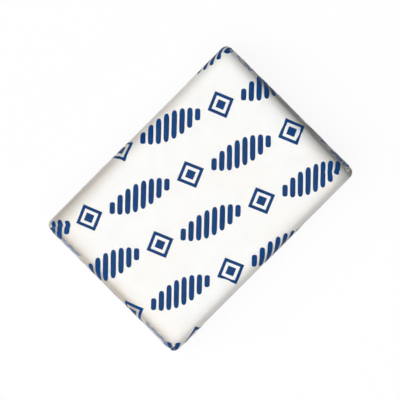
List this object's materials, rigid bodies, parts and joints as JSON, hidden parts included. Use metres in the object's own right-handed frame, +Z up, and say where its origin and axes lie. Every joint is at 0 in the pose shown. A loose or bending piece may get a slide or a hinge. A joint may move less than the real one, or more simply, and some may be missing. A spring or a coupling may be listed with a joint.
{
  "type": "plastic eraser",
  "caption": "Flat white vinyl eraser block with rounded edges, overwrapped in one sheet of clear printed film with a lap seam underneath and envelope folds on the short ends.",
  "frame": {"origin": "under the middle of the block, on the surface that the wrapped eraser lies on", "axes": "+X along the block, +Y across it, +Z up through its thickness; the lap seam of the wrapper is underneath and its end folds are at +X and -X"},
  "size_m": [0.0414, 0.0292, 0.0124],
  "materials": {
    "vinyl": "soft white plasticised vinyl, smooth and slightly waxy, with a faint ivory tone",
    "printed_film": null
  },
  "bodies": {
    "root": {"eraser_block": "vinyl", "film_wrapper": "printed_film"}
  },
  "joints": []
}
